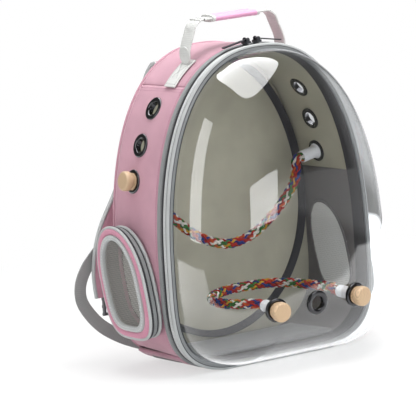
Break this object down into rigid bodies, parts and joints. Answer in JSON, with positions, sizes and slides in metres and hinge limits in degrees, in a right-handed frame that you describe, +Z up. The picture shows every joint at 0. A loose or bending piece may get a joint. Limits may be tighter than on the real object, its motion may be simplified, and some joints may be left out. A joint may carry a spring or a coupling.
{
  "type": "bird travel carrier",
  "caption": "Egg-shaped backpack carrier for birds: fabric shell, clear hinged dome, rope perches in eyelets, net side pods, top handle and shoulder straps.",
  "frame": {"origin": "middle of the flat base", "axes": "+X to the right seen from the front, -Y out of the clear dome, +Z up"},
  "size_m": [0.3434, 0.2664, 0.4048],
  "materials": {
    "back_mesh": "padded spacer mesh",
    "beech": "sanded beech",
    "black_nickel": "glossy black nickel",
    "buckle_plastic": "moulded plastic",
    "clear_dome": "clear vacuum-formed plastic, polished",
    "dark_binding": "ribbed binding tape",
    "dark_mesh_lining": "fine mesh lining",
    "floor_mat": "felted mat",
    "grey_piping": "covered piping",
    "grip_canvas": "padded canvas",
    "gunmetal": "gunmetal plating",
    "handle_webbing": "woven webbing",
    "khaki_lining": "plain woven lining",
    "pink_canvas": "woven polyester canvas",
    "pod_canvas": "woven polyester canvas",
    "pod_net": "knitted polyester net",
    "rope": "braided cotton",
    "steel_stud": "plated steel",
    "strap_canvas": "padded canvas",
    "strap_webbing": "woven webbing",
    "white_ferrule": "white moulded plastic",
    "zip_tape": "woven zip tape",
    "zip_teeth": "nylon zip teeth"
  },
  "bodies": {
    "shell": {"back_panel": "pink_canvas", "back_pad": "back_mesh", "top_panel": "pink_canvas", "left_panel": "pink_canvas", "right_panel": "pink_canvas", "bottom_panel": "pink_canvas", "upper_lining": "khaki_lining", "lower_lining": "dark_mesh_lining", "inner_nets": "pod_net", "back_lining": "khaki_lining", "lining_trim": "dark_binding", "floor_mat": "floor_mat", "body_rim": "grey_piping", "body_tape": "zip_tape", "body_zip": "zip_teeth", "body_binding": "dark_binding", "left_eyelets": "black_nickel", "right_eyelets": "black_nickel", "upper_left_ferrule": "white_ferrule", "upper_right_ferrule": "white_ferrule", "upper_rope": "rope", "left_pod_wall": "pod_canvas", "right_pod_wall": "pod_canvas", "handle_tabs": "handle_webbing", "zip_sliders": "gunmetal", "strap_yoke": "pink_canvas", "left_shoulder_pad": "strap_canvas", "right_shoulder_pad": "strap_canvas", "left_webbing": "strap_webbing", "right_webbing": "strap_webbing", "left_buckle": "buckle_plastic", "right_buckle": "buckle_plastic", "webbing_anchors": "pink_canvas"},
    "front_door": {"door_rim": "grey_piping", "door_tape": "zip_tape", "door_zip": "zip_teeth", "door_binding": "dark_binding", "clear_dome": "clear_dome", "front_eyelets": "black_nickel", "front_left_ferrule": "white_ferrule", "front_right_ferrule": "white_ferrule", "lower_rope": "rope"},
    "left_pod_door": {"left_pod_frame": "pod_canvas", "left_pod_piping": "grey_piping", "left_pod_mesh": "pod_net"},
    "right_pod_door": {"right_pod_frame": "pod_canvas", "right_pod_piping": "grey_piping", "right_pod_mesh": "pod_net"},
    "upper_left_perch_screw": {"upper_left_knob": "beech", "upper_left_stud": "steel_stud"},
    "upper_right_perch_screw": {"upper_right_knob": "beech", "upper_right_stud": "steel_stud"},
    "front_left_perch_screw": {"front_left_knob": "beech", "front_left_stud": "steel_stud"},
    "front_right_perch_screw": {"front_right_knob": "beech", "front_right_stud": "steel_stud"},
    "carry_handle": {"handle_webbing": "handle_webbing", "handle_grip": "grip_canvas"},
    "left_pull": {"left_zip_pull": "gunmetal"},
    "right_pull": {"right_zip_pull": "gunmetal"}
  },
  "joints": [
    {"name": "front_door_hinge", "type": "hinge", "parent": "shell", "child": "front_door", "pos_m": [0.147, -0.0585, 0.121], "axis": [0, 0, 1], "range_deg": [0, 100]},
    {"name": "left_pod_hinge", "type": "hinge", "parent": "shell", "child": "left_pod_door", "pos_m": [-0.1598, 0.001, 0.043], "axis": [0, -1, 0], "range_deg": [0, 95]},
    {"name": "right_pod_hinge", "type": "hinge", "parent": "shell", "child": "right_pod_door", "pos_m": [0.1598, 0.001, 0.043], "axis": [0, 1, 0], "range_deg": [0, 95]},
    {"name": "upper_left_perch_turn", "type": "hinge", "parent": "shell", "child": "upper_left_perch_screw", "pos_m": [-0.13405, 0.0055, 0.222], "axis": [-0.982, 0.0421, 0.1842], "continuous": true},
    {"name": "upper_right_perch_turn", "type": "hinge", "parent": "shell", "child": "upper_right_perch_screw", "pos_m": [0.13405, 0.0055, 0.222], "axis": [0.982, 0.0421, 0.1842], "continuous": true},
    {"name": "front_left_perch_turn", "type": "hinge", "parent": "front_door", "child": "front_left_perch_screw", "pos_m": [-0.05661, -0.15123, 0.076], "axis": [-0.1189, -0.9898, -0.0787], "continuous": true},
    {"name": "front_right_perch_turn", "type": "hinge", "parent": "front_door", "child": "front_right_perch_screw", "pos_m": [0.05661, -0.15123, 0.076], "axis": [0.1189, -0.9898, -0.0787], "continuous": true},
    {"name": "handle_fold", "type": "hinge", "parent": "shell", "child": "carry_handle", "pos_m": [0, -0.0205, 0.36182], "axis": [1, 0, 0], "range_deg": [-55, 30]},
    {"name": "left_pull_lift", "type": "hinge", "parent": "shell", "child": "left_pull", "pos_m": [-0.0075, -0.0585, 0.3749], "axis": [0, 1, 0], "range_deg": [0, 100]},
    {"name": "right_pull_lift", "type": "hinge", "parent": "shell", "child": "right_pull", "pos_m": [0.0075, -0.0585, 0.3749], "axis": [0, -1, 0], "range_deg": [0, 100]}
  ]
}
